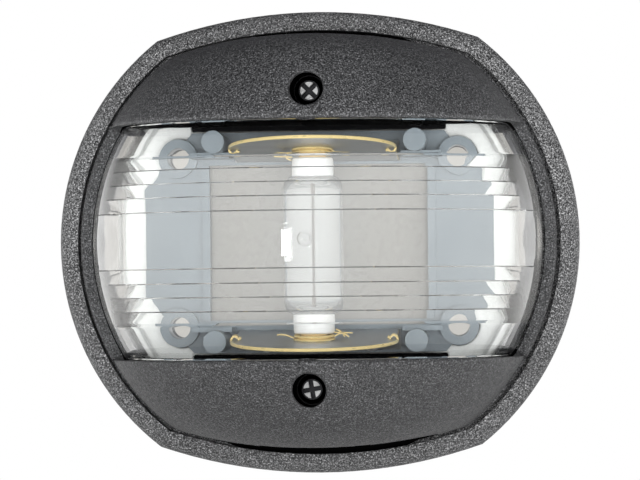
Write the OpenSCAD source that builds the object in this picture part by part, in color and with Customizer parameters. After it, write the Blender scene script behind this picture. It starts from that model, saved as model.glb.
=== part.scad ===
// White stern navigation light for a small boat, with a festoon bulb behind a belted clear lens.
// Millimetres. Z is up and the light shines along -Y. The origin is the middle of the back face,
// the face that lies on the transom. Inside front() the drawing plane is the face of the light:
// x across, y up, and z is the height off the transom.

/* [Housing] */
// Half the overall width
half_w = 40; // [30:0.1:60]
// Radius of the two side arcs
side_r = 39.7; // [25:0.1:60]
// Radius of the top and bottom arcs
arch_r = 75.5; // [50:0.5:120]
// Half the overall height, at the crown of the arcs
half_h = 35.45; // [25:0.05:55]
// Width of the raised rim, measured inward from the outline
rim_w = 2.9; // [2:0.1:5]
// Height of the rim crest
rim_h = 6.2; // [4:0.1:10]
// Radius on the outer edge of the rim
rim_edge = 2.3; // [0.5:0.1:3]
// Thickness of the floor
floor_t = 3; // [2:0.1:5]

/* [Fixing to the boat] */
// Spacing of the four fixing holes across
fix_x = 43; // [30:0.5:60]
// Spacing of the four fixing holes up and down
fix_z = 26; // [16:0.5:40]
// Radius of a fixing hole
fix_r = 1.7; // [1:0.05:3]
// Outer radius of the sleeve round a fixing hole
fix_sleeve_r = 3.05; // [2:0.05:5]
// Height of that sleeve off the transom
fix_sleeve_h = 7.6; // [5:0.1:12]

/* [Cable entry] */
// Radius of the hole in the floor
entry_r = 3.5; // [2:0.1:6]
// Sideways place of the hole
entry_x = 13; // [0:0.5:20]
// How far the hole lies below the middle
entry_down = 22.4; // [0:0.1:26]
// Bore of the grommet
grommet_bore = 2.2; // [1:0.1:4]

/* [Cover] */
// Gap between the rim and the cover
cover_gap = 0.6; // [0.3:0.1:1.5]
// Wall of the cover
cover_wall = 1.8; // [1:0.1:3]
// Height of the land beside the lens
land_h = 8; // [6:0.1:12]
// Radius of the domed caps
cap_r = 36.1; // [30:0.1:45]
// Distance from the middle to the edge of a cap
cap_edge = 17.75; // [12:0.05:24]
// Thickness of the shelf that closes a cap
shelf_t = 3; // [1.5:0.1:5]

/* [Lens] */
// Outside radius of the lens dome
lens_r = 34.4; // [28:0.1:42]
// Thickness of the lens dome
lens_t = 2; // [1:0.1:4]
// Half the height of the lens, with the edge that enters the caps
lens_half = 19.1; // [14:0.1:24]
// How far the axis of the belt stands in front of the centre of the dome
belt_shift = 1; // [0:0.1:4]

/* [Cover screws] */
// Distance of a cover screw from the middle
screw_at = 22.2; // [16:0.1:28]
// Radius of the shank
shank_r = 1.45; // [1:0.05:2]
// Radius of the head
head_r = 2.15; // [1.5:0.05:3]
// Height of the seat under the head
seat_h = 25.3; // [18:0.1:32]

/* [Bulb and contacts] */
// Height of the bulb axis off the transom
bulb_h = 20.5; // [14:0.1:28]
// How far the bulb sits above the middle (negative is below)
bulb_up = -0.7; // [-2:0.1:2]
// How far the contacts sit above the middle
contact_up = -0.55; // [-2:0.1:2]
// Radius of the bulb glass
glass_r = 4.45; // [3:0.05:6]
// Length of the bulb over its tips
bulb_len = 31; // [28:0.5:44]
// Thickness of the contact sheet
sheet_t = 0.5; // [0.2:0.05:1]
// Radius of the round end of a contact
contact_r = 12.5; // [8:0.1:15]
// Outward lean of a contact, degrees
contact_lean = 5; // [0:0.5:10]

/* [Hidden] */
$fn = 96;
side_c = half_w - side_r;
arch_c = arch_r - half_h;
cover_in = rim_w + cover_gap;
wall_in = cover_in + cover_wall;
wall_back = floor_t + 1;
lens_in = lens_r - lens_t;
shelf_back = 9;
draft = 0.06;
boss_r = 4.8;
pillar_r = 3.5;
pillar_h = seat_h - 2.1;
insert_r = 2.3;
insert_l = 5.7;
pan_t = 1.3;
pan_top = floor_t + 0.05 + pan_t;
plate_back = pan_top + 0.05;
plate_top = plate_back + 1.5;
root_y = 12.85;
rivet_y = root_y + 2.1;
root_h = plate_top + 0.6;
tip_at = bulb_len / 2;
cap_base = 10.6;
cap_end = 13.2;
BELT = [[12.2, 31.5], [10.43, 32.15], [8.35, 32.95], [6.28, 33.55], [4.12, 34.05]];
belt_in = sqrt(lens_in * lens_in - BELT[0][0] * BELT[0][0]);

// Turns the face plane upright, so that z here becomes -Y
module front() rotate([90, 0, 0]) children();

// The half of the space on one side of x = 0
module half(s, h) translate([s > 0 ? 0 : -60, -60, -1]) cube([60, 120, h + 2]);

// Upright prism with the outline of the light, moved inward by i
module outline(i, h) intersection() {
    union() for (s = [-1, 1]) intersection() {
        translate([s * side_c, 0, 0]) cylinder(r = side_r - i, h = h);
        half(s, h);
    }
    translate([0, -arch_c, 0]) cylinder(r = arch_r - i, h = h);
    translate([0, arch_c, 0]) cylinder(r = arch_r - i, h = h);
}

// Disc whose front edge is rounded
module soft_disc(r, h, e) rotate_extrude() {
    square([r - e, h]);
    square([r, h - e]);
    translate([r - e, h - e]) intersection() { circle(e); square(e); }
}

// The same outline with a rounded front edge
module soft_outline(i, h, e) intersection() {
    union() for (s = [-1, 1]) intersection() {
        translate([s * side_c, 0, 0]) soft_disc(side_r - i, h, e);
        half(s, h);
    }
    translate([0, -arch_c, 0]) soft_disc(arch_r - i, h, e);
    translate([0, arch_c, 0]) soft_disc(arch_r - i, h, e);
}

module ring(r, bore, z0, z1) translate([0, 0, z0]) difference() {
    cylinder(r = r, h = z1 - z0);
    translate([0, 0, -1]) cylinder(r = bore, h = z1 - z0 + 2);
}

module at_fixings() for (x = [-1, 1], y = [-1, 1])
    translate([x * fix_x / 2, y * fix_z / 2, 0]) children();

// Slab above (or below, with side = -1) the line y = from
module beyond(side, from, z0, z1) translate([-50, side > 0 ? from : -from - 50, z0])
    cube([100, 50, z1 - z0]);

module base() color("#3a3b3d") front() difference() {
    union() {
        difference() {
            soft_outline(0, rim_h, rim_edge);
            translate([0, 0, floor_t]) outline(rim_w, rim_h);
        }
        for (s = [-1, 1]) translate([0, s * screw_at, 0]) {
            cylinder(r = pillar_r, h = pillar_h);
            translate([-6.5, -0.6, 0]) cube([13, 1.2, shelf_back - 0.6]);
        }
    }
    at_fixings() translate([0, 0, -1]) cylinder(r = fix_r, h = floor_t + 2);
    translate([entry_x, -entry_down, -1]) cylinder(r = entry_r, h = floor_t + 2);
    for (s = [-1, 1]) translate([0, s * screw_at, 0]) {
        translate([0, 0, 9]) cylinder(r = shank_r + 0.35, h = pillar_h);
        translate([0, 0, pillar_h - insert_l]) cylinder(r = insert_r + 0.02, h = 20);
    }
    // sealant groove in the back face
    translate([0, 0, -1]) difference() {
        outline(3, 1.8);
        translate([0, 0, -1]) outline(4.4, 4);
    }
}

module grommet() color("#26282a") front() translate([entry_x, -entry_down, 0]) difference() {
    union() {
        translate([0, 0, 0.4]) cylinder(r = entry_r - 0.05, h = 3);
        translate([0, 0, floor_t + 0.05]) cylinder(r = entry_r + 0.9, h = 1.2);
    }
    translate([0, 0, -1]) cylinder(r = grommet_bore, h = 9);
}

module insert(side) color("#c8a34e") front() translate([0, side * screw_at, 0])
    ring(insert_r, shank_r + 0.05, pillar_h - insert_l + 0.05, pillar_h - 0.05);
module insert_top() insert(1);
module insert_bottom() insert(-1);

module body_seal() color("#1c1d1f") front() translate([0, 0, floor_t + 0.02]) difference() {
    outline(cover_in + 0.2, 0.88);
    translate([0, 0, -1]) outline(wall_in, 3);
}

module reflector() color("#f4f4f1") front() difference() {
    intersection() {
        union() {
            translate([0, 0, floor_t + 0.05]) cylinder(r = 34.2, h = pan_t);
            ring(32, 31, floor_t + 0.05, land_h - 0.4);
        }
        union() {
            translate([-40, -17.3, 0]) cube([80, 34.6, 20]);
            for (x = [-40, 19.8]) translate([x, -19.9, 0]) cube([20.2, 39.8, 20]);
        }
    }
    at_fixings() cylinder(r = fix_sleeve_r + 0.2, h = 9);
}

module carrier() color("#93a0aa") front() difference() {
    union() {
        translate([0, 0, plate_back]) linear_extrude(plate_top - plate_back)
            polygon([[26.6, 8.2], [19.5, 17], [-19.5, 17], [-26.6, 8.2], [-26.6, -8.2],
                [-19.5, -17], [19.5, -17], [26.6, -8.2]]);
        at_fixings() translate([0, 0, floor_t + 0.05])
            cylinder(r = fix_sleeve_r, h = fix_sleeve_h - floor_t - 0.05);
        for (x = [-1, 1]) {
            translate([x * 17.1 - 0.6, -11.9, plate_back]) cube([1.2, 23.8, 2.1]);
            for (y = [-1, 1]) {
                translate([x * 15.1, y * 15, plate_back]) cylinder(r = 1.7, h = 18 - plate_back);
                translate([x * 15.95 - 3.05, y * 13.2 - 0.4, plate_back])
                    cube([6.1, 0.8, 9]);
            }
        }
    }
    at_fixings() cylinder(r = fix_r, h = 20);
    // window that shows the reflector behind the bulb
    translate([-16.5, -11.9, 0]) cube([33, 23.8, 20]);
    for (s = [-1, 1], x = [-8, 8]) translate([x, s * rivet_y + contact_up, 0])
        cylinder(r = 0.82, h = 20);
}

// Contact drawn for the upper side: a foot on the plate and a round-ended tongue
module contact_shape() {
    difference() {
        translate([-12.5, root_y, root_h - sheet_t]) cube([25, 3.2, sheet_t]);
        for (x = [-8, 8]) translate([x, rivet_y, 0]) cylinder(r = 1.2, h = 20);
    }
    translate([0, root_y, root_h - sheet_t]) rotate([-contact_lean, 0, 0]) {
        seat = (bulb_h - root_h + sheet_t) / cos(contact_lean);
        difference() {
            union() {
                translate([0.3 - contact_r, 0, 0]) cube([2 * contact_r - 0.6, sheet_t, seat - 1]);
                translate([0, sheet_t, seat]) rotate([90, 0, 0]) cylinder(r = contact_r, h = sheet_t);
                translate([0, sheet_t, seat]) rotate([90, 0, 0]) cylinder(r = 3.1, h = 1);
            }
            translate([0, 3, seat]) rotate([90, 0, 0]) cylinder(r = 2.35, h = 9);
            // relief slots beside the seat
            for (x = [-1, 1]) translate([x * 4.7 - 1.1, -1, seat - 3]) cube([2.2, 3, 0.8]);
        }
        // turned-in corners
        for (x = [-1, 1]) translate([x * (contact_r - 0.5) - 0.2, -1.1, seat - 1.2])
            cube([0.4, 1.3, 2.4]);
    }
}
module contact_top() color("#d9b75a") front() translate([0, contact_up, 0]) contact_shape();
module contact_bottom() color("#d9b75a") front() translate([0, contact_up, 0])
    mirror([0, 1, 0]) contact_shape();

module rivets(side) color("#cfd3d6") front() for (x = [-8, 8])
    translate([x, side * rivet_y + contact_up, 0]) {
        translate([0, 0, plate_back + 0.2]) cylinder(r = 0.8, h = 3);
        translate([0, 0, root_h + 0.35]) cylinder(r = 1.35, h = 0.8);
    }
module rivets_top() rivets(1);
module rivets_bottom() rivets(-1);

// Puts the bulb on its axis, with the local z along the axis of the bulb
module on_bulb_axis() translate([0, -bulb_h, bulb_up]) children();

module bulb_glass() color("#dfe6ea", 0.4) on_bulb_axis() rotate_extrude() difference() {
    intersection() {
        translate([0, -cap_base]) square([glass_r, 2 * cap_base]);
        union() {
            translate([0, -cap_base + 2]) square([glass_r, 2 * cap_base - 4]);
            for (s = [-1, 1]) translate([glass_r - 2.2, s * (cap_base - 2.2)]) circle(2.2);
            translate([0, -cap_base]) square([glass_r - 2.2, 2 * cap_base]);
        }
    }
    translate([0, -cap_base + 0.7]) square([glass_r - 0.6, 2 * cap_base - 1.4]);
}

module bulb_cap(s) color("#e8e8e4") on_bulb_axis() mirror([0, 0, s < 0 ? 1 : 0]) difference() {
    translate([0, 0, cap_base + 0.02]) cylinder(r = 3.05, h = cap_end - cap_base);
    translate([0, 0, cap_base - 1]) cylinder(r = 2.4, h = 2.2);
}
module bulb_cap_top() bulb_cap(1);
module bulb_cap_bottom() bulb_cap(-1);

module bulb_tip(s) color("#c9954a") on_bulb_axis() mirror([0, 0, s < 0 ? 1 : 0]) {
    translate([0, 0, cap_end + 0.04]) cylinder(r1 = 2, r2 = 1.5, h = 1.7);
    translate([0, 0, cap_end + 1.74]) cylinder(r1 = 1.5, r2 = 0.7, h = tip_at - cap_end - 1.74);
}
module bulb_tip_top() bulb_tip(1);
module bulb_tip_bottom() bulb_tip(-1);

module bulb_filament() color("#5b5550") on_bulb_axis() translate([0, 0, -7.4])
    cylinder(r = 0.22, h = 14.8);
module bulb_leads() color("#b9a28a") on_bulb_axis() for (s = [0, 1]) mirror([0, 0, s])
    translate([0, 0, 7.45]) cylinder(r = 0.3, h = 2.4);

// Dome of the lens with its stepped belt, solid
module lens_solid() {
    translate([0, 0, land_h]) sphere(r = lens_r);
    translate([0, 0, land_h + belt_shift]) for (b = BELT) rotate([90, 0, 0])
        cylinder(r = b[1], h = 2 * b[0], center = true);
}
module lens() color("#e6ecef", 0.35) front() difference() {
    union() {
        intersection() {
            lens_solid();
            translate([-40, -lens_half, land_h]) cube([80, 2 * lens_half, 50]);
        }
        intersection() {
            translate([0, 0, 5.2]) cylinder(r = lens_r, h = land_h - 5.2);
            translate([-40, -lens_half, 0]) cube([80, 2 * lens_half, 50]);
        }
    }
    translate([0, 0, land_h]) {
        // the inside is a dome too, but level behind the belt
        difference() {
            sphere(r = lens_in);
            translate([-50, -BELT[0][0], -50]) cube([100, 2 * BELT[0][0], 100]);
        }
        rotate([90, 0, 0]) cylinder(r = belt_in, h = 2 * BELT[0][0], center = true);
    }
    translate([0, 0, -1]) cylinder(r = lens_in, h = land_h + 1);
}

// Upright up to the land, then drawn in towards the front
module drafted(r) {
    cylinder(r = r, h = land_h);
    translate([0, 0, land_h]) cylinder(r1 = r, r2 = r - 40 * draft, h = 40);
}

// Cap over one end of the lens: a dome, hollow from the back, closed by a shelf
module cap(s) difference() {
    intersection() {
        translate([0, 0, land_h]) sphere(r = cap_r);
        translate([0, -s * arch_c, 0]) drafted(arch_r - cover_in);
        beyond(s, cap_edge, land_h - 1.5, 60);
    }
    intersection() {
        translate([0, 0, land_h]) sphere(r = cap_r - cover_wall);
        translate([0, -s * arch_c, 0]) drafted(arch_r - wall_in);
        union() {
            beyond(s, cap_edge + shelf_t, 0, 60);
            beyond(s, cap_edge - 1, 0, shelf_back);
        }
    }
}

module cover() color("#47494b") front() difference() {
    union() {
        difference() {
            translate([0, 0, wall_back]) intersection() {
                outline(cover_in, land_h - wall_back);
                soft_disc(half_w - cover_in, land_h - wall_back, 0.8);
            }
            intersection() {
                cylinder(r = lens_r + 0.3, h = 20);
                translate([0, -arch_c, 0]) cylinder(r = arch_r - wall_in, h = 20);
                translate([0, arch_c, 0]) cylinder(r = arch_r - wall_in, h = 20);
            }
        }
        for (s = [-1, 1]) {
            cap(s);
            intersection() {
                translate([0, s * screw_at, shelf_back]) cylinder(r = boss_r, h = 40);
                translate([0, 0, land_h]) sphere(r = cap_r - 0.6);
            }
        }
    }
    // slot for the edge of the lens
    difference() {
        intersection() {
            translate([0, 0, land_h]) sphere(r = lens_r + 0.2);
            translate([-40, -lens_half - 0.1, 0]) cube([80, 2 * lens_half + 0.2, 60]);
        }
        translate([0, 0, land_h]) sphere(r = lens_in - 0.2);
    }
    for (s = [-1, 1]) translate([0, s * screw_at, 0]) {
        translate([0, 0, seat_h]) cylinder(r = head_r + 0.35, h = 30);
        translate([0, 0, 10]) cylinder(r = shank_r + 0.35, h = 20);
        cylinder(r = pillar_r + 0.3, h = pillar_h + 0.1);
    }
}

module screw(s, turn) color("#2a2b2d") front() translate([0, s * screw_at, 0]) difference() {
    union() {
        translate([0, 0, seat_h - 14.8]) cylinder(r = shank_r, h = 15.5);
        translate([0, 0, seat_h + 0.6]) cylinder(r = head_r, h = 1.4);
        translate([0, 0, seat_h + 2]) cylinder(r1 = head_r, r2 = head_r - 0.6, h = 0.6);
    }
    translate([0, 0, seat_h + 1.4]) rotate([0, 0, turn]) for (a = [0, 90]) rotate([0, 0, a])
        translate([-1.35, -0.35, 0]) cube([2.7, 0.7, 3]);
}
module screw_top() screw(1, 45);
module screw_bottom() screw(-1, 10);

module screw_seal(s) color("#17181a") front() translate([0, s * screw_at, 0])
    ring(head_r + 0.25, shank_r + 0.3, seat_h + 0.02, seat_h + 0.52);
module screw_seal_top() screw_seal(1);
module screw_seal_bottom() screw_seal(-1);

base();
grommet();
insert_top();
insert_bottom();
body_seal();
reflector();
carrier();
contact_top();
contact_bottom();
rivets_top();
rivets_bottom();
bulb_glass();
bulb_cap_top();
bulb_cap_bottom();
bulb_tip_top();
bulb_tip_bottom();
bulb_filament();
bulb_leads();
cover();
lens();
screw_top();
screw_bottom();
screw_seal_top();
screw_seal_bottom();
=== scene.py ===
"""Looks of the stern navigation light: finishes, finer meshes and studio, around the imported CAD."""
import math

import bmesh
import bpy
import numpy as np
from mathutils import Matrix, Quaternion, Vector


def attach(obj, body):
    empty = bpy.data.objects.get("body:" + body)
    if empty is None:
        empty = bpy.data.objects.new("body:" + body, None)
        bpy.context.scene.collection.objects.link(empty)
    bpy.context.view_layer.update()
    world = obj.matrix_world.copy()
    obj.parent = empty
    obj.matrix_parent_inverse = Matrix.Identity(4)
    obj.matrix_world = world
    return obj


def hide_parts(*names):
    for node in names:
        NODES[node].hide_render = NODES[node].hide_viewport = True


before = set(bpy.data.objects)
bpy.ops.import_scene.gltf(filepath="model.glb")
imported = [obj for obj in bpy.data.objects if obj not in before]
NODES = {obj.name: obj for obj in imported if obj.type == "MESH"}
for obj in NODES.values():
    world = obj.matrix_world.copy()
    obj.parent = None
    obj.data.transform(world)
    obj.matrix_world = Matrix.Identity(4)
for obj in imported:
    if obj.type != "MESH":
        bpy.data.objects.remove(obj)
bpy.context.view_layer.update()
MM = 0.001

# sizes in mm, as in the CAD
SIDE_R, SIDE_C, ARCH_R, HALF_H = 39.7, 0.3, 75.5, 35.45
ARCH_C = ARCH_R - HALF_H
COVER_IN, SHELF_UP, FLOOR_T, BELT_HALF = 3.5, 9.0, 3.0, 12.2
LAND, CAP_R, CAP_EDGE, LENS_R, LENS_IN = 8.0, 36.1, 17.75, 34.4, 32.4
SCREW_AT, SEAT, BULB_D, BULB_UP, CONTACT_UP = 22.2, 25.3, 20.5, -0.7, -0.55
# further sizes in mm, used for the looks and the finer meshes
WINDOW_HALF, COVER_FOOT, BAND_IN = 16.5, 4.05, 34.62
# radius and depth of the painted highlight on the screw heads
HEAD_HIGHLIGHT_R, HEAD_HIGHLIGHT_UP = 1.3, SEAT + 2.55


# ---------------------------------------------------------------- node tree helpers
def material(name, base, rough, metal=0.0, **extra):
    """New Principled material with its tree and shader; extra sets further inputs."""
    m = bpy.data.materials.new(name)
    m.use_nodes = True
    nt = m.node_tree
    p = nt.nodes["Principled BSDF"]
    p.inputs["Base Color"].default_value = (*base, 1)
    p.inputs["Roughness"].default_value = rough
    p.inputs["Metallic"].default_value = metal
    for k, v in extra.items():
        p.inputs[k.replace("_", " ")].default_value = v
    return m, nt, p


def node(nt, kind, **inputs):
    """New node with some of its inputs set."""
    n = nt.nodes.new(kind)
    for k, v in inputs.items():
        n.inputs[k].default_value = v
    return n


def coords(nt, scale=(1, 1, 1)):
    """Place on the object, scaled."""
    tc = nt.nodes.new("ShaderNodeTexCoord")
    mp = nt.nodes.new("ShaderNodeMapping")
    mp.inputs["Scale"].default_value = scale
    nt.links.new(tc.outputs["Object"], mp.inputs["Vector"])
    return mp.outputs["Vector"]


def noise(nt, vec, scale, detail=2.0, rough=0.5):
    """Noise between 0 and 1."""
    n = node(nt, "ShaderNodeTexNoise", Scale=scale, Detail=detail, Roughness=rough)
    nt.links.new(vec, n.inputs["Vector"])
    return n.outputs["Fac"]


def ramp(nt, fac, stops):
    """Colour ramp; a stop is (position, colour), where a colour of one number is a grey."""
    r = nt.nodes.new("ShaderNodeValToRGB")
    el = r.color_ramp.elements
    while len(el) < len(stops):
        el.new(0.5)
    for e, (pos, col) in zip(el, stops):
        e.position = pos
        e.color = (*col, 1) if len(col) == 3 else (col[0],) * 3 + (1,)
    nt.links.new(fac, r.inputs["Fac"])
    return r.outputs["Color"]


def bump(nt, p, height, strength, distance, before=None):
    """Bump on shader p, on top of the normal before."""
    b = node(nt, "ShaderNodeBump", Strength=strength, Distance=distance)
    nt.links.new(height, b.inputs["Height"])
    if before:
        nt.links.new(before, b.inputs["Normal"])
    nt.links.new(b.outputs["Normal"], p.inputs["Normal"])
    return b.outputs["Normal"]


def math_node(nt, op, a, b=None):
    """Output of a maths node; a and b are sockets or numbers."""
    n = nt.nodes.new("ShaderNodeMath")
    n.operation = op
    for k, v in enumerate((a, b)):
        if isinstance(v, (int, float)):
            n.inputs[k].default_value = v
        elif v is not None:
            nt.links.new(v, n.inputs[k])
    return n.outputs[0]


def map_range(nt, value, lo, hi, at_lo=0.0, at_hi=1.0):
    """value taken from lo..hi to at_lo..at_hi and held past both ends."""
    n = nt.nodes.new("ShaderNodeMapRange")
    for key, v in (("From Min", lo), ("From Max", hi), ("To Min", at_lo), ("To Max", at_hi)):
        n.inputs[key].default_value = v
    nt.links.new(value, n.inputs["Value"])
    return n.outputs["Result"]


def mix_shader(nt, amount, a, b):
    """Shader a where amount is 0 and b where it is 1."""
    n = nt.nodes.new("ShaderNodeMixShader")
    for k, socket in enumerate((amount, a, b)):
        nt.links.new(socket, n.inputs[k])
    return n.outputs[0]


def xyz(nt):
    """Place on the object as three sockets, in metres, once coords() has been called."""
    sep = nt.nodes.new("ShaderNodeSeparateXYZ")
    nt.links.new(nt.nodes["Texture Coordinate"].outputs["Object"], sep.inputs[0])
    return sep.outputs


def toned(m, mask, tone, painted_shade=False):
    """Paints the colour tone onto m where mask(nt, x, y, z) is 1, with x, y, z in metres, for painted
    shade or a painted highlight; the last flag also takes its sheen off there, for darker painted shade."""
    nt = m.node_tree
    p = nt.nodes["Principled BSDF"]
    where = mask(nt, *xyz(nt))
    mix = nt.nodes.new("ShaderNodeMix")
    mix.data_type = "RGBA"
    mix.inputs["B"].default_value = (*tone, 1)
    nt.links.new(where, mix.inputs["Factor"])
    nt.links.new(p.inputs["Base Color"].links[0].from_socket, mix.inputs["A"])
    nt.links.new(mix.outputs["Result"], p.inputs["Base Color"])
    if painted_shade:
        flat = nt.nodes.new("ShaderNodeBsdfDiffuse")
        flat.inputs["Color"].default_value = (*tone, 1)
        both = mix_shader(nt, where, p.outputs[0], flat.outputs[0])
        nt.links.new(both, nt.nodes["Material Output"].inputs["Surface"])


def sand_plastic(name, dark, light, rough=0.5, grain=4400, strength=1.0):
    """Black moulded plastic with a fine spark-eroded grain, whose lighter and lightest specks are painted
    highlights.
    """
    m, nt, p = material(name, dark, rough, Specular_IOR_Level=0.75)
    vec = coords(nt)
    g1 = noise(nt, vec, grain, 3.0, 0.7)
    g2 = noise(nt, vec, grain * 0.45, 2.0, 0.5)
    wear = noise(nt, vec, 60, 3.0, 0.5)
    mid = tuple((a + b) * 0.3 for a, b in zip(dark, light))
    painted_glint = tuple(min(c * 2.2, 1) for c in light)
    # the grain is the plastic's own; its lighter and lightest specks are painted highlights in the colour
    col = ramp(nt, g1, [(0.4, dark), (0.52, mid), (0.62, light), (0.7, painted_glint)])
    tint = ramp(nt, wear, [(0.3, (0.8, 0.8, 0.8)), (0.75, (1, 1, 1))])
    mix = nt.nodes.new("ShaderNodeMix")
    mix.data_type = "RGBA"
    mix.blend_type = "MULTIPLY"
    mix.inputs["Factor"].default_value = 1.0
    nt.links.new(col, mix.inputs["A"])
    nt.links.new(tint, mix.inputs["B"])
    nt.links.new(mix.outputs["Result"], p.inputs["Base Color"])
    r = ramp(nt, g2, [(0.3, (rough - 0.1,)), (0.7, (rough + 0.14,))])
    nt.links.new(r, p.inputs["Roughness"])
    n1 = bump(nt, p, g1, strength, 0.00016)
    bump(nt, p, g2, strength * 0.5, 0.0003, n1)
    return m


def smooth_plastic(name, base, rough, spot=0.04, **extra):
    """Moulded plastic or rubber with faint cloudy spots."""
    m, nt, p = material(name, base, rough, **extra)
    vec = coords(nt)
    f = noise(nt, vec, 180, 4.0, 0.6)
    lo = tuple(max(c - spot, 0) for c in base)
    hi = tuple(min(c + spot * 0.5, 1) for c in base)
    nt.links.new(ramp(nt, f, [(0.3, lo), (0.7, hi)]), p.inputs["Base Color"])
    r = ramp(nt, noise(nt, vec, 700, 2.0), [(0.3, (rough - 0.05,)), (0.75, (rough + 0.08,))])
    nt.links.new(r, p.inputs["Roughness"])
    bump(nt, p, noise(nt, vec, 900, 2.0), 0.12, 0.00004)
    return m


def sheet_metal(name, base, rough, streak=(1, 1, 14), spot=0.1):
    """Metal with fine drawn streaks."""
    m, nt, p = material(name, base, rough, 1.0)
    vec = coords(nt, streak)
    f = noise(nt, vec, 350, 4.0, 0.6)
    lo = tuple(c * (1 - spot) for c in base)
    hi = tuple(min(c * (1 + spot * 0.6), 1) for c in base)
    nt.links.new(ramp(nt, f, [(0.3, lo), (0.7, hi)]), p.inputs["Base Color"])
    nt.links.new(ramp(nt, f, [(0.3, (rough - 0.06,)), (0.7, (rough + 0.1,))]), p.inputs["Roughness"])
    bump(nt, p, noise(nt, vec, 1200, 2.0), 0.15, 0.00003)
    return m


def clear(name, tint, ior, veil, half):
    """Clear moulding that lets the lamps through, with a haze of strength veil up to the height half
    (mm) either side of the middle."""
    m = bpy.data.materials.new(name)
    m.use_nodes = True
    nt = m.node_tree
    nt.nodes.clear()
    p = node(nt, "ShaderNodeBsdfPrincipled", Roughness=0.0, IOR=ior)
    p.inputs["Base Color"].default_value = (*tint, 1)
    p.inputs["Transmission Weight"].default_value = 1.0
    bump(nt, p, noise(nt, coords(nt), 260, 2.0), 0.12, 0.00004)
    haze = node(nt, "ShaderNodeBsdfDiffuse", Color=(0.8, 0.79, 0.77, 1))
    up = math_node(nt, "ABSOLUTE", xyz(nt)["Z"])
    amount = map_range(nt, up, (half - 0.2) * MM, half * MM, veil, 0.0)
    seen = mix_shader(nt, amount, p.outputs[0], haze.outputs[0])
    open_way = node(nt, "ShaderNodeBsdfTransparent", Color=(*tint, 1))
    rays = nt.nodes.new("ShaderNodeLightPath")
    out = nt.nodes.new("ShaderNodeOutputMaterial")
    nt.links.new(mix_shader(nt, rays.outputs["Is Shadow Ray"], seen, open_way.outputs[0]),
                 out.inputs["Surface"])
    return m


# ---------------------------------------------------------------- masks for toned(), where shade and a highlight are painted
def squares(nt, *lengths):
    """Sum of the squares of some lengths."""
    total = math_node(nt, "MULTIPLY", lengths[0], lengths[0])
    for c in lengths[1:]:
        total = math_node(nt, "ADD", total, math_node(nt, "MULTIPLY", c, c))
    return total


def window_shade_zone(nt, x, y, z):
    """The middle of the pan that shows through the window of the carrier, fading out beside it, where
    shade is painted.
    """
    return map_range(nt, math_node(nt, "ABSOLUTE", x), WINDOW_HALF * MM, (WINDOW_HALF + 3) * MM, 1.0, 0.0)


def head_highlight(nt, x, y, z):
    """The middle of the two screw heads, on the front face only, where a highlight is painted."""
    up = math_node(nt, "SUBTRACT", math_node(nt, "ABSOLUTE", z), SCREW_AT * MM)
    near = math_node(nt, "LESS_THAN", squares(nt, x, up), (HEAD_HIGHLIGHT_R * MM) ** 2)
    return math_node(nt, "MULTIPLY", near, math_node(nt, "LESS_THAN", y, -HEAD_HIGHLIGHT_UP * MM))


def cap_inside_shade(nt, x, y, z):
    """The inside of the caps, made flat black as painted shade. The ball also takes in the foot of their
    outer end walls, which come nearer to the middle than its radius, so painted shade lands on their
    outside there too."""
    deep = math_node(nt, "ADD", y, LAND * MM)
    return math_node(nt, "LESS_THAN", squares(nt, x, deep, z), ((CAP_R - 1.4) * MM) ** 2)


def housing_floor_shade(nt, x, y, z):
    """The floor of the housing, seen past the edge of the carrier, where shade is painted."""
    near = math_node(nt, "LESS_THAN", squares(nt, x, z), (34 * MM) ** 2)
    level = math_node(nt, "MULTIPLY", math_node(nt, "GREATER_THAN", y, -(FLOOR_T + 0.5) * MM),
                      math_node(nt, "LESS_THAN", y, -(FLOOR_T - 0.5) * MM))
    return math_node(nt, "MULTIPLY", near, level)


# ---------------------------------------------------------------- finishes
# flat black used for painted shade
PAINTED_SHADE_BLACK = (0.002, 0.002, 0.002)
# the housing gets lighter specks than the cover: painted light on its rim
M_BASE = sand_plastic("housing black", (0.002, 0.0021, 0.0025), (0.32, 0.321, 0.326))
M_COVER = sand_plastic("cover black", (0.002, 0.0021, 0.0025), (0.15, 0.151, 0.156))
M_RUBBER = smooth_plastic("rubber", (0.02, 0.02, 0.021), 0.7, 0.008)
M_WHITE = smooth_plastic("white reflector", (0.76, 0.76, 0.745), 0.28, 0.02)
# painted shade: the middle of the white reflector, seen through the carrier's window, is made much darker
toned(M_WHITE, window_shade_zone, (0.24, 0.232, 0.22))
M_GREY = smooth_plastic("blue grey carrier", (0.2, 0.228, 0.25), 0.35, 0.02)
M_BRASS = sheet_metal("contact brass", (0.98, 0.76, 0.36), 0.3)
M_TIN = sheet_metal("tinned sheet", (0.42, 0.44, 0.46), 0.34)
M_TIP = sheet_metal("bulb tip brass", (0.98, 0.72, 0.36), 0.42)
M_NICKEL = sheet_metal("bulb cap nickel", (0.97, 0.965, 0.95), 0.5)
for m, metal in ((M_NICKEL, 0.4), (M_BRASS, 0.6), (M_TIP, 0.6)):
    m.node_tree.nodes["Principled BSDF"].inputs["Metallic"].default_value = metal
M_INSERT = sheet_metal("turned brass", (0.72, 0.55, 0.25), 0.3)
M_RIVET = sheet_metal("rivet", (0.75, 0.75, 0.76), 0.3)
M_SCREW = sheet_metal("black screw", (0.03, 0.03, 0.032), 0.3)
# painted highlight: a light grey disc in the middle of each black screw head
toned(M_SCREW, head_highlight, (0.5, 0.5, 0.5))
# painted shade: the floor of the housing past the carrier in flat black without sheen
toned(M_BASE, housing_floor_shade, PAINTED_SHADE_BLACK, painted_shade=True)
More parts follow.
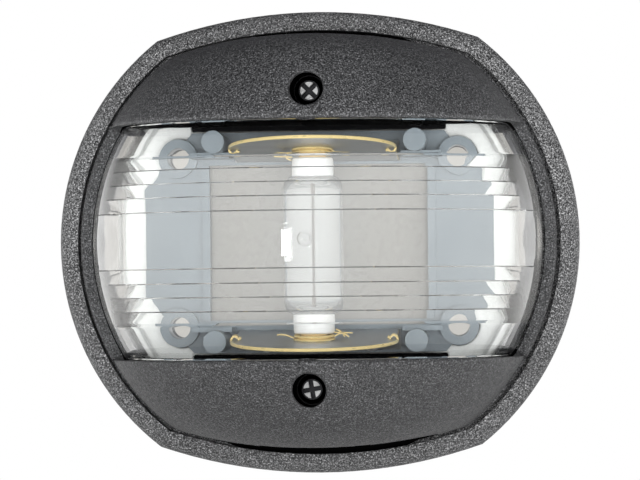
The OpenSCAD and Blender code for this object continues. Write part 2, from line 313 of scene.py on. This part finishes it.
# painted shade: the inside of the caps in flat black without sheen
toned(M_COVER, cap_inside_shade, PAINTED_SHADE_BLACK, painted_shade=True)
M_WIRE = sheet_metal("filament wire", (0.32, 0.25, 0.22), 0.4)
M_GLASS = clear("bulb glass", (0.97, 0.98, 0.99), 1.47, veil=0.1, half=20)
M_BOND = smooth_plastic("bond line", (0.004, 0.004, 0.004), 0.6, 0.001)
M_LENS = clear("clear lens", (0.975, 0.985, 0.985), 1.5, veil=0.05, half=BELT_HALF)

LOOK = {
    "base": M_BASE, "grommet": M_RUBBER, "insert_top": M_INSERT, "insert_bottom": M_INSERT,
    "body_seal": M_RUBBER, "reflector": M_WHITE, "carrier": M_GREY, "contact_top": M_BRASS,
    "contact_bottom": M_BRASS, "rivets_top": M_RIVET, "rivets_bottom": M_RIVET,
    "bulb_glass": M_GLASS, "bulb_cap_top": M_NICKEL, "bulb_cap_bottom": M_NICKEL,
    "bulb_tip_top": M_TIP, "bulb_tip_bottom": M_TIP, "bulb_filament": M_WIRE,
    "bulb_leads": M_WIRE, "cover": M_COVER, "lens": M_LENS, "screw_top": M_SCREW,
    "screw_bottom": M_SCREW, "screw_seal_top": M_RUBBER, "screw_seal_bottom": M_RUBBER,
}
for name, mat in LOOK.items():
    ob = NODES[name]
    ob.data.materials.clear()
    ob.data.materials.append(mat)


# ---------------------------------------------------------------- mesh helpers
def place(pts):
    """(x, up, height off the transom) in mm to metres in the frame."""
    p = np.asarray(pts, float)
    return np.stack([p[..., 0], -p[..., 2], p[..., 1]], -1) * MM


def make(name, verts, faces, mat, smooth=35):
    """Object from vertices in metres, smooth up to an angle of smooth degrees."""
    me = bpy.data.meshes.new(name)
    me.from_pydata([tuple(v) for v in verts], [], faces)
    me.materials.append(mat)
    ob = bpy.data.objects.new(name, me)
    bpy.context.scene.collection.objects.link(ob)
    bm = bmesh.new()
    bm.from_mesh(me)
    bmesh.ops.remove_doubles(bm, verts=bm.verts, dist=2e-7)
    bmesh.ops.recalc_face_normals(bm, faces=bm.faces)
    bm.to_mesh(me)
    bm.free()
    me.shade_smooth()
    me.set_sharp_from_angle(angle=math.radians(smooth))
    return ob


def grid(P, wrap_rows=False, wrap_cols=False):
    """Vertices and quads of a rows x cols x 3 array."""
    P = np.asarray(P, float)
    nr, nc = P.shape[:2]
    faces = []
    for i in range(nr if wrap_rows else nr - 1):
        for j in range(nc if wrap_cols else nc - 1):
            a, b = i * nc + j, i * nc + (j + 1) % nc
            c, d = ((i + 1) % nr) * nc + (j + 1) % nc, ((i + 1) % nr) * nc + j
            faces.append((a, b, c, d))
    return P.reshape(-1, 3), faces


def stack(*parts):
    """Several meshes as one."""
    verts, faces, n = [], [], 0
    for v, f in parts:
        verts.append(np.asarray(v))
        faces += [tuple(i + n for i in q) for q in f]
        n += len(v)
    return np.concatenate(verts), faces


def corner(i):
    """Where the side arc meets the top arc, for the outline moved in by i."""
    r1, r2 = SIDE_R - i, ARCH_R - i
    lo, hi = 0.2, 1.2
    for _ in range(60):
        a = (lo + hi) / 2
        x, y = SIDE_C + r1 * math.cos(a), r1 * math.sin(a)
        lo, hi = (a, hi) if math.hypot(x, y + ARCH_C) < r2 else (lo, a)
    return a, math.atan2(y + ARCH_C, x)


def upper_outline(i, n, floor_y):
    """Right to left over the top, from height floor_y on the right to floor_y on the left."""
    r1, r2 = SIDE_R - i, ARCH_R - i
    a, b = corner(i)
    a0 = math.asin(floor_y / r1)
    k = n // 4
    pts = [(SIDE_C + r1 * math.cos(t), r1 * math.sin(t)) for t in np.linspace(a0, a, k, endpoint=False)]
    pts += [(r2 * math.cos(t), r2 * math.sin(t) - ARCH_C) for t in np.linspace(b, math.pi - b, n - 2 * k)]
    pts += [(-x, y) for x, y in pts[:k][::-1]]
    return np.array(pts)


def drop(s, r):
    """How far a rounded edge of radius r falls below its face at distance s from the edge."""
    t = np.clip(r - s, 0, r)
    return r - np.sqrt(np.maximum(r * r - t * t, 0))


# ---------------------------------------------------------------- lens
# rings of the belt as (outer edge, radius) from the middle out, and the width of the step between them
BELT = [(4.12, 33.98), (6.28, 33.45), (8.35, 32.85), (10.43, 32.05), (BELT_HALF, 31.3)]
BELT_STEP, BELT_IN = 0.18, 30.0
LENS_FOOT, LENS_ROOT, LENS_EDGE = 5.2, 6.6, 0.25


def belt_ring(y):
    """Radius and outer edge of the ring of the belt at height y, or None past the belt."""
    return next(((r, edge) for edge, r in BELT if abs(y) <= edge), None)


def crown_mark(g):
    """Depth of the moulder's mark at the crown, a groove round a dimple, at distance g from it."""
    if 0.72 < g < 1.12:
        return 0.07 * math.sin(math.pi * (g - 0.72) / 0.4)
    return 0.06 * math.cos(math.pi / 2 * g / 0.34) if g < 0.34 else 0.0


def lens_heights(half):
    """Heights of the rows of the lens, closer together at the steps, the ends and the crown."""
    edges = [0.0] + [edge for edge, _ in BELT]
    ys = [0.0]
    for y0, y1 in zip(edges, edges[1:]):
        ys += list(np.linspace(y0, y1, 8)[1:]) + [y1 + BELT_STEP]
    ys += list(np.linspace(12.5, half - LENS_EDGE, 22)) + [half - 0.07, half]
    ys += list(np.linspace(0.06, 1.2, 20))
    return np.array(sorted(set([round(-y, 5) for y in ys] + [round(y, 5) for y in ys])))


def lens_mesh():
    """Dome with level rings for the belt, which fade into the dome at the two sides."""
    half = CAP_EDGE - 0.04
    phi = np.unique(np.r_[np.linspace(0, math.pi, 541), math.pi / 2 + np.linspace(-0.036, 0.036, 41)])
    outer, inner = [], []
    for y in lens_heights(half):
        soft = drop(half - abs(y), LENS_EDGE)
        rd = math.sqrt(LENS_R**2 - y * y) - soft
        ri = math.sqrt(LENS_IN**2 - y * y) + soft
        ring = belt_ring(y)
        rl = BELT_IN if ring else ri
        ro, rin = [(rd, y, LENS_FOOT), (rd, y, LENS_ROOT)], [(ri, y, LENS_FOOT), (ri, y, LAND)]
        for f in phi:
            t = rd
            if ring:
                level = math.sqrt(LENS_R**2 - ring[1] ** 2)
                side = min(max((abs(math.cos(f)) - 0.72) / 0.2, 0.0), 1.0)
                t = max(level + (rd - level) * side,
                        math.sin(f) + math.sqrt(ring[0] ** 2 - math.cos(f) ** 2))
            if math.sin(f) > 0.9:
                t -= crown_mark(math.hypot(t * math.cos(f), y))
            ro.append((t * math.cos(f), y, LAND + t * math.sin(f)))
            rin.append((rl * math.cos(f), y, LAND + rl * math.sin(f)))
        ro += [(-rd, y, LENS_ROOT), (-rd, y, LENS_FOOT)]
        rin += [(-ri, y, LAND), (-ri, y, LENS_FOOT)]
        outer.append(ro)
        inner.append(rin)
    o, i = np.array(outer), np.array(inner)
    parts = [grid(place(o)), grid(place(i))]
    for k in (0, -1):
        parts.append(grid(place(np.stack([o[k], i[k]]))))
    for k in (0, -1):
        parts.append(grid(place(np.stack([o[:, k], i[:, k]]))))
    ob = make("lens_clear", *stack(*parts), M_LENS, 12)
    # the two ends are bonded into the black cap
    ob.data.materials.append(M_BOND)
    for q in ob.data.polygons:
        if abs(q.normal.z) > 0.98 and abs(q.center.z) > (half - 0.01) * MM:
            q.material_index = 1
    return ob


lens = lens_mesh()
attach(lens, "cover_lens")
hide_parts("lens")


# ---------------------------------------------------------------- cover
def dome(x, y, r=CAP_R):
    """Height of a dome of radius r above (x, y)."""
    return LAND + np.sqrt(np.maximum(r * r - x * x - y * y, 0.0))


def boundary(n_edge=150, n_arc=240):
    """Closed outline of a cap seen from the front, starting at the right tip, with its normals."""
    out = upper_outline(COVER_IN, n_arc, CAP_EDGE)
    side = np.abs(out[:, 1]) < 28.3
    nrm = np.where((side & (np.abs(out[:, 0]) > 22.5))[:, None],
                   np.c_[out[:, 0] - np.sign(out[:, 0]) * SIDE_C, out[:, 1]],
                   np.c_[out[:, 0], out[:, 1] + ARCH_C])
    nrm /= np.linalg.norm(nrm, axis=1)[:, None]
    t = np.linspace(math.pi, 0, n_edge)
    edge = np.c_[out[0, 0] * np.cos(t), np.full(n_edge, CAP_EDGE)]
    low = np.tile([0.0, -1.0], (n_edge, 1))
    kind = np.r_[np.zeros(len(out)), np.ones(n_edge)]
    return np.r_[out, edge], np.r_[nrm, low], kind


def cap_mesh(s):
    """Domed cap with its screw hole: outer skin with a rounded lip and shoulder, walls, hollow."""
    P, N, kind = boundary()
    c = np.array([0.0, SCREW_AT])
    line = kind > 0.5
    H = np.einsum("ij,ij->i", N, P - c)
    ang = np.arctan2(P[:, 1] - c[1], P[:, 0] - c[0])
    hole = lambda r: c + r * np.c_[np.cos(ang), np.sin(ang)]
    lip, shoulder = 1.0, 3.2

    def drawn_in(p):
        return 0.06 * np.maximum(dome(p[:, 0], p[:, 1]) - shoulder - LAND, 0)

    def skin(p):
        z = dome(p[:, 0], p[:, 1])
        z = z - drop(np.maximum(p[:, 1] - CAP_EDGE, 0), lip)
        wall = ARCH_R - COVER_IN - drawn_in(p) - np.hypot(p[:, 0], p[:, 1] + ARCH_C)
        return np.maximum(z - drop(np.maximum(wall, 0), shoulder), 7.2)

    rows = []
    for r, low in ((2.5, 0.62), (2.53, 0.42), (2.62, 0.2), (2.74, 0.07), (2.9, 0.0)):
        p = hole(r)
        rows.append(np.c_[p, skin(p) - low])
    T = P - N * np.where(line, 0, drawn_in(P))[:, None]
    first = hole(3.0)
    fr = np.where(line, lip, shoulder) / H
    for q in np.linspace(0, 1, 34):
        p = first + (c + (T - c) * (1 - fr)[:, None] - first) * q
        rows.append(np.c_[p, skin(p)])
    for a in np.linspace(math.pi / 2, 0, 15)[1:]:
        p = c + (T - c) * (1 - fr * (1 - math.cos(a)))[:, None]
        rows.append(np.c_[p, skin(p)])
    foot = np.where(line, SHELF_UP, COVER_FOOT)
    top = rows[-1][:, 2]
    rows.append(np.c_[P, np.where(line, foot + (top - foot) * 0.4, np.minimum(LAND, top - 0.02))])
    rows.append(np.c_[P, foot])
    back = P - N * np.where(line, 0.2, 1.7)[:, None]
    under = lambda p: np.maximum(dome(p[:, 0], p[:, 1], CAP_R - 1.8), 7.0)
    rows.append(np.c_[back, foot])
    inward = P - N * np.where(line, 0.2, 2.6)[:, None]
    rows.append(np.c_[inward, np.maximum(under(back) - 1.0, foot + 0.01)])
    for q in np.linspace(0, 1, 8)[1:]:
        p = back + (hole(3.4) - back) * q
        rows.append(np.c_[p, under(p)])
    R = np.array(rows)
    R[..., 1] *= s
    return grid(place(R), wrap_rows=True, wrap_cols=True)


def shelf_mesh(s):
    """Shelf that closes the cap behind its edge, either side of the boss."""
    parts = []
    for e in (-1, 1):
        x = np.linspace(4.25, 30.2, 41)
        rows = []
        for y, top in ((17.85, False), (17.85, True), (20.7, True), (20.7, False)):
            z = np.maximum(dome(x, y, CAP_R - 1.2), 9.3) if top else np.full(41, 9.02)
            rows.append(np.c_[e * x, np.full(41, y * s), z])
        v, f = grid(place(np.array(rows)), wrap_rows=True)
        parts.append((v, f + [tuple(i * 41 for i in range(4)), tuple(i * 41 + 40 for i in range(4))]))
    return stack(*parts)


def boss_mesh(s):
    """Screw boss: counterbore, seat, socket for the pillar and the round outside."""
    k = 96
    t = np.linspace(0, 2 * math.pi, k, endpoint=False)
    ring = lambda r, h: np.stack([r * np.cos(t), SCREW_AT + r * np.sin(t), np.broadcast_to(h, k)], -1)
    lip = dome(2.5 * np.cos(t), SCREW_AT + 2.5 * np.sin(t)) - 0.7
    rows = [ring(3.8, 23.3), ring(1.8, 23.3), ring(1.8, SEAT - 0.12), ring(1.92, SEAT), ring(2.38, SEAT),
            ring(2.5, SEAT + 0.12)]
    rows += [ring(2.5, SEAT + (lip - SEAT) * q) for q in (0.3, 0.65, 1.0)]
    rows += [ring(3.4, lip - 0.35), ring(4.76, dome(4.76 * np.cos(t), SCREW_AT + 4.76 * np.sin(t)) - 1.15)]
    rows += [ring(4.8, h) for h in (24.0, 20.0, 14.0, 9.15)]
    rows += [ring(4.65, SHELF_UP), ring(3.9, SHELF_UP), ring(3.8, 9.1), ring(3.8, 16.0)]
    R = np.array(rows)
    R[..., 1] *= s
    return grid(place(R), wrap_rows=True, wrap_cols=True)


def band_mesh(s):
    """Side band of the cover: outer wall, rounded land and the edge round the lens."""
    n = 121
    th = np.linspace(-0.585, 0.585, n)
    rc = SIDE_R - COVER_IN
    outer = np.stack([SIDE_C + rc * np.cos(th), rc * np.sin(th)], -1)
    inner = np.stack([BAND_IN * np.cos(th), BAND_IN * np.sin(th)], -1)
    w = np.linalg.norm(outer - inner, axis=1)
    unit = (outer - inner) / w[:, None]
    rows = [np.c_[inner, np.full(n, COVER_FOOT)]]
    for a in np.linspace(0, math.pi / 2, 5):
        d = 0.25 * (1 - math.cos(a))
        rows.append(np.c_[inner + unit * d, np.full(n, LAND - 0.25 * (1 - math.sin(a)))])
    for a in np.linspace(math.pi / 2, 0, 8):
        d = 0.7 * (1 - math.cos(a))
        rows.append(np.c_[outer - unit * d, np.full(n, LAND - 0.7 * (1 - math.sin(a)))])
    rows.append(np.c_[outer, np.full(n, COVER_FOOT)])
    R = np.array(rows)
    R[..., 0] *= s
    v, f = grid(place(R), wrap_rows=True)
    m = len(rows)
    f.append(tuple(i * n for i in range(m)))
    f.append(tuple(i * n + n - 1 for i in range(m)))
    return v, f


def cover_object():
    """The cover as one object: two caps, shelves, bosses and side bands."""
    parts = []
    for s in (1, -1):
        for name, mesh in (("cap", cap_mesh), ("shelf", shelf_mesh), ("boss", boss_mesh),
                           ("band", band_mesh)):
            parts.append(make(name, *mesh(s), M_COVER))
    bpy.ops.object.select_all(action="DESELECT")
    for o in parts:
        o.select_set(True)
    bpy.context.view_layer.objects.active = parts[0]
    bpy.ops.object.join()
    ob = bpy.context.object
    ob.name = "cover_shell"
    ob.data.materials.clear()
    ob.data.materials.append(M_COVER)
    ob.data.shade_smooth()
    ob.data.set_sharp_from_angle(angle=math.radians(32))
    return ob


cover = cover_object()
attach(cover, "cover_lens")
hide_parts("cover")


# ---------------------------------------------------------------- bulb
def lathe(name, prof, mat, body, node_names, k=64, smooth=35):
    """Turned about the bulb axis; prof is (radius, height) in mm."""
    t = np.linspace(0, 2 * math.pi, k, endpoint=False)
    rows = [np.stack([r * np.cos(t), r * np.sin(t), np.full(k, h)], -1) for r, h in prof]
    R = np.array(rows)
    v = np.stack([R[..., 0], R[..., 1] - BULB_D, R[..., 2] + BULB_UP], -1) * MM
    vv, f = grid(v, wrap_cols=True)
    if prof[0][0] > 1e-6 and prof[0] != prof[-1]:
        f.append(tuple(range(k)))
        f.append(tuple((len(prof) - 1) * k + j for j in range(k)))
    ob = make(name, vv, f, mat, smooth)
    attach(ob, body)
    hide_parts(*node_names)
    return ob


def glass_profile():
    """Closed profile of the tube: outside from the lower to the upper end, then the inside."""
    out, r, L, c = [], 4.4, 10.5, 1.9
    for a in np.linspace(0, math.pi / 2, 10):
        out.append((r - c + c * math.sin(a), -L + c - c * math.cos(a)))
    out += [(r - c + c * math.cos(a), L - c + c * math.sin(a)) for a in np.linspace(0, math.pi / 2, 10)]
    ins = [(max(q - 0.45, 0.0), h * 0.945) for q, h in out[::-1]]
    return out + ins + [out[0]]


lathe("bulb_envelope", glass_profile(), M_GLASS, "bulb", ["bulb_glass"])
for s, end in ((1, "top"), (-1, "bottom")):
    cap_prof = [(2.75, 10.3), (3.0, 10.3), (3.06, 10.38), (3.06, 12.7), (2.97, 12.98), (2.75, 13.14),
                (2.2, 13.2), (0.0, 13.2)]
    lathe("bulb_cap_%s_turned" % end, [(r, s * h) for r, h in cap_prof], M_NICKEL, "bulb",
          ["bulb_cap_" + end])
    tip_prof = [(0.0, 13.15), (2.05, 13.15), (1.98, 13.5), (1.75, 14.2), (1.5, 14.7), (1.2, 15.15),
                (0.7, 15.42), (0.0, 15.5)]
    lathe("bulb_tip_%s_turned" % end, [(r, s * h) for r, h in tip_prof], M_TIP, "bulb",
          ["bulb_tip_" + end])


def coil(name, turns, r, length, wire, mat, node_names, k=10, per=14):
    """Wound wire as a swept tube."""
    n = turns * per
    t = np.linspace(0, turns * 2 * math.pi, n)
    z = np.linspace(-length / 2, length / 2, n)
    c = np.stack([r * np.cos(t), r * np.sin(t), z], -1)
    tan = np.gradient(c, axis=0)
    tan /= np.linalg.norm(tan, axis=1)[:, None]
    up = np.tile([0, 0, 1.0], (n, 1))
    a = np.cross(tan, up)
    a /= np.linalg.norm(a, axis=1)[:, None]
    b = np.cross(tan, a)
    q = np.linspace(0, 2 * math.pi, k, endpoint=False)
    P = c[:, None] + wire * (np.cos(q)[None, :, None] * a[:, None] + np.sin(q)[None, :, None] * b[:, None])
    P = (P + np.array([0, -BULB_D, BULB_UP])) * MM
    v, f = grid(P, wrap_cols=True)
    ob = make(name, v, f, mat, 60)
    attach(ob, "bulb")
    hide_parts(*node_names)
    return ob


coil("filament_coil", 60, 0.2, 14.8, 0.06, M_WIRE, ["bulb_filament"])

# ---------------------------------------------------------------- contacts
ROOT_Y, ROOT_Z, LEAN, SHEET = 12.85, 6.0, math.radians(5), 0.5
BLADE_R, SEAT_R, FOOT_W = 12.5, 2.35, 3.2
SEAT_V = (BULB_D - ROOT_Z) / math.cos(LEAN)


def on_blade(x, t, v):
    """x across, t through the sheet (negative towards the bulb), v up the blade."""
    return np.stack([x, ROOT_Y + t * math.cos(LEAN) + v * math.sin(LEAN),
                     ROOT_Z - t * math.sin(LEAN) + v * math.cos(LEAN)], -1)


def plate(outer, inner, t0, t1, r=0.06):
    """Flat ring between two loops of equal length, with softened edges."""
    rows = []
    away = outer - inner
    away /= np.linalg.norm(away, axis=1)[:, None]
    for loop, t, d in ((outer, t0, -r), (outer, t0 + r, 0), (outer, t1 - r, 0), (outer, t1, -r),
                       (inner, t1, r), (inner, t1 - r, 0), (inner, t0 + r, 0), (inner, t0, r)):
        q = loop + away * d
        rows.append(on_blade(q[:, 0], np.full(len(q), t), q[:, 1]))
    return np.array(rows)


def strip(path, w, t):
    """Narrow folded tab along a path of (x, t, v) points; w across v, t thick."""
    c = np.array(path, float)
    d = np.gradient(c[:, :2], axis=0)
    d /= np.linalg.norm(d, axis=1)[:, None]
    nx = np.c_[-d[:, 1], d[:, 0]] * t / 2
    rows = []
    for a, b in ((1, -1), (1, 1), (-1, 1), (-1, -1)):
        rows.append(on_blade(c[:, 0] + a * nx[:, 0], c[:, 1] + a * nx[:, 1], c[:, 2] + b * w / 2))
    v, f = grid(np.array(rows), wrap_rows=True)
    m = len(c)
    f += [tuple(i * m for i in range(4)), tuple(i * m + m - 1 for i in range(4))]
    return v, f


def contact_mesh(name, s, node_name, body):
    """Sprung contact: blade with its seat collar and tabs, and the foot; s is 1 above, -1 below."""
    n = 240
    a = np.linspace(0, 2 * math.pi, n, endpoint=False)
    x, y = np.cos(a) * BLADE_R, np.sin(a) * BLADE_R
    low = y < -1.0
    x = np.where(low, np.clip(x * 3, -12.2, 12.2), x)
    y = np.where(low, np.maximum(y * 1.9, -SEAT_V + 0.02), y)
    outer = np.c_[x, SEAT_V + y]
    inner = np.c_[SEAT_R * np.cos(a), SEAT_V + SEAT_R * np.sin(a)]
    R = plate(outer, inner, 0.0, SHEET)
    blade = grid(R, wrap_rows=True, wrap_cols=True)
    gold = [i for i, f in enumerate(blade[1]) if f[0] // n in (0, 1, 2, 4, 5, 6)]
    # collar round the seat, with a flange towards the bulb
    prof = [(2.3, 0.3), (2.3, -0.62), (2.38, -0.7), (2.96, -0.7), (3.04, -0.62), (3.04, -0.5),
            (2.96, -0.42), (2.62, -0.42), (2.56, -0.36), (2.56, -0.28), (2.62, -0.22), (3.04, -0.22),
            (3.12, -0.14), (3.12, 0.1)]
    b = a[::3]
    C = np.array([on_blade(r * np.cos(b), np.full(len(b), t), SEAT_V + r * np.sin(b)) for r, t in prof])
    collar = grid(C, wrap_cols=True)
    parts = [blade, collar]
    q = np.linspace(0, 1, 9)
    # cut and folded tabs beside the seat and at the two shoulders
    parts.append(strip(np.c_[-3.0 - 2.2 * q, -0.45 - 0.5 * np.sin(q * 3.2),
                             SEAT_V + 0.6 + 0 * q], 1.0, 0.16))
    parts.append(strip(np.c_[-3.2 - 1.3 * q, -1.35 + 1.1 * q * q, SEAT_V - 0.9 + 0 * q], 0.8, 0.16))
    parts.append(strip(np.c_[-3.0 - 2.7 * q, -1.0 + 0.12 * q, SEAT_V - 0.2 + 0 * q], 0.5, 0.14))
    parts.append(strip(np.c_[3.0 + 2.5 * q, -0.3 - 0.5 * np.sin(q * 2.0),
                             SEAT_V + 0.4 + 0 * q], 0.8, 0.16))
    for e in (-1, 1):
        h = np.linspace(0, math.pi * 0.9, 11)
        parts.append(strip(np.c_[e * (11.9 + 0.5 * np.cos(h)), 0.2 - 0.62 * np.sin(h) - 0.1 * h,
                                 SEAT_V - 0.3 + 0 * h], 1.6, 0.3))
        parts.append(strip(np.c_[e * (11.4 - 0.5 * h / 3), -0.12 - 0.2 * h / 3,
                                 SEAT_V - 0.3 + 0 * h], 1.2, 0.34))
    # foot on the carrier: a plain bar, without the rivet holes
    fx = np.array([-BLADE_R, BLADE_R])
    foot = []
    toe = ROOT_Y + FOOT_W
    for yy, zz in ((ROOT_Y, ROOT_Z), (ROOT_Y, ROOT_Z + SHEET), (toe, ROOT_Z + SHEET), (toe, ROOT_Z)):
        foot.append(np.c_[fx, [yy, yy], [zz, zz]])
    fv, ff = grid(np.array(foot), wrap_rows=True)
    ff += [(0, 2, 4, 6), (1, 3, 5, 7)]
    nb = sum(len(p[1]) for p in parts)
    parts.append((fv, ff))
    v, f = stack(*parts)
    v[:, 0] *= s
    v[:, 1] = s * v[:, 1] + CONTACT_UP
    me = bpy.data.meshes.new(name)
    me.from_pydata([tuple(p) for p in place(v)], [], f)
    me.materials.append(M_TIN)
    me.materials.append(M_BRASS)
    idx = np.zeros(len(f), int)
    idx[gold] = 1
    idx[len(blade[1]):nb] = 1
    me.polygons.foreach_set("material_index", idx.astype(np.int32))
    ob = bpy.data.objects.new(name, me)
    bpy.context.scene.collection.objects.link(ob)
    bm = bmesh.new()
    bm.from_mesh(me)
    bmesh.ops.recalc_face_normals(bm, faces=bm.faces)
    bm.to_mesh(me)
    bm.free()
    me.shade_smooth()
    me.set_sharp_from_angle(angle=math.radians(40))
    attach(ob, body)
    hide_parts(node_name)
    return ob


contact_mesh("contact_top_sheet", 1, "contact_top", "upper_contact")
contact_mesh("contact_bottom_sheet", -1, "contact_bottom", "lower_contact")

# ---------------------------------------------------------------- rounded edges on the CAD pieces
for name, w in (("base", 0.25), ("carrier", 0.2), ("reflector", 0.3), ("screw_top", 0.12),
                ("screw_bottom", 0.12)):
    ob = NODES[name]
    wl = ob.modifiers.new("weld", "WELD")
    wl.merge_threshold = 2e-6
    bv = ob.modifiers.new("edges", "BEVEL")
    bv.width = w * MM
    bv.segments = 3
    bv.limit_method = "ANGLE"
    bv.angle_limit = math.radians(38)
    bv.harden_normals = False

# ---------------------------------------------------------------- studio
SKY_SOFT, SKY_SHINE = 0.07, 1.7
MIDDLE = Vector((0, -0.02, 0))


def pale_floor():
    """Disc below the light, pale in the middle and fading out towards its edge."""
    m, nt, p = material("pale floor", (0.86, 0.86, 0.86), 0.7)
    p.inputs["Emission Color"].default_value = (1, 1, 1, 1)
    p.inputs["Emission Strength"].default_value = 0.2
    tc = nt.nodes.new("ShaderNodeTexCoord")
    away = nt.nodes.new("ShaderNodeVectorMath")
    away.operation = "LENGTH"
    nt.links.new(tc.outputs["Object"], away.inputs[0])
    gone = nt.nodes.new("ShaderNodeBsdfTransparent")
    both = mix_shader(nt, map_range(nt, away.outputs["Value"], 0.12, 0.3), p.outputs[0], gone.outputs[0])
    nt.links.new(both, nt.nodes["Material Output"].inputs["Surface"])
    bpy.ops.mesh.primitive_circle_add(vertices=64, radius=0.32, fill_type="NGON",
                                      location=(0, MIDDLE.y, -0.05))
    ob = bpy.context.object
    ob.name = "floor"
    ob.data.materials.append(m)
    return ob


floor = pale_floor()


def area(name, loc, size, power):
    """Rectangular lamp with its size in metres and power in watts, aimed at the middle."""
    d = bpy.data.lights.new(name, "AREA")
    d.shape = "RECTANGLE"
    d.size, d.size_y = size
    d.energy = power
    o = bpy.data.objects.new(name, d)
    o.location = loc
    o.rotation_euler = (MIDDLE - Vector(loc)).to_track_quat("-Z", "Y").to_euler()
    bpy.context.scene.collection.objects.link(o)
    return o


# the large lamps light the piece without showing in it; only the spark does
for lamp in (area("left", (-0.62, -0.5, 0.05), (0.5, 0.7), 3.5),
             area("right", (0.62, -0.5, 0.05), (0.5, 0.7), 4),
             area("back", (0.35, 0.9, 0.45), (0.8, 0.8), 9),
             area("front", (0.1, -1.1, -0.2), (0.7, 0.7), 27)):
    lamp.visible_glossy = False
    lamp.visible_transmission = False
area("spark", (-0.2, -0.9, 0.012), (0.07, 0.011), 0.16)


def studio_world():
    """A soft sky for light, a stronger one for reflections, white behind the light and a warm grey for
    what shows through it, which is painted shade of the backdrop behind the piece."""
    w = bpy.data.worlds.new("studio")
    bpy.context.scene.world = w
    w.use_nodes = True
    nt = w.node_tree
    nt.nodes.clear()
    tc = nt.nodes.new("ShaderNodeTexCoord")
    sep = nt.nodes.new("ShaderNodeSeparateXYZ")
    nt.links.new(tc.outputs["Generated"], sep.inputs[0])
    sky = ramp(nt, map_range(nt, sep.outputs["Z"], -1.0, 1.0),
               [(0.0, (0.25, 0.25, 0.25)), (0.4, (0.95, 0.95, 0.94)), (0.52, (0.95, 0.955, 0.96)),
                (0.64, (0.05, 0.05, 0.055))])
    rays = nt.nodes.new("ShaderNodeLightPath")
    soft = node(nt, "ShaderNodeBackground", Strength=SKY_SOFT)
    nt.links.new(sky, soft.inputs["Color"])
    seen = soft.outputs[0]
    # later rows win where a ray is of two kinds; None stands for the sky
    # the warm grey seen by transmission rays is painted shade on the backdrop behind the piece
    for ray, strength, flat in (("Is Glossy Ray", SKY_SHINE, None), ("Is Camera Ray", 1.0, (1, 1, 1, 1)),
                                ("Is Transmission Ray", 1.0, (0.6, 0.58, 0.545, 1))):
        part = node(nt, "ShaderNodeBackground", Strength=strength)
        if flat:
            part.inputs["Color"].default_value = flat
        else:
            nt.links.new(sky, part.inputs["Color"])
        seen = mix_shader(nt, rays.outputs[ray], seen, part.outputs[0])
    out = nt.nodes.new("ShaderNodeOutputWorld")
    nt.links.new(seen, out.inputs["Surface"])


def studio_camera():
    """Long lens from slightly to the right and below, rolled as the photo is."""
    cam = bpy.data.cameras.new("camera")
    cam.lens = 254.35
    cam.sensor_width = 36
    cam.shift_x = -0.9 / 640
    cam.shift_y = 2.5 / 640
    cam.clip_start = 0.01
    co = bpy.data.objects.new("camera", cam)
    right, up, roll, dist = math.radians(3.15), math.radians(-0.8), math.radians(-0.6), 0.7
    back = Vector((math.sin(right) * math.cos(up), -math.cos(right) * math.cos(up), math.sin(up)))
    co.location = back * dist
    co.rotation_euler = (back.to_track_quat("Z", "Y") @ Quaternion((0, 0, 1), roll)).to_euler()
    bpy.context.scene.collection.objects.link(co)
    bpy.context.scene.camera = co


studio_world()
bpy.context.scene.view_settings.view_transform = "Standard"
studio_camera()
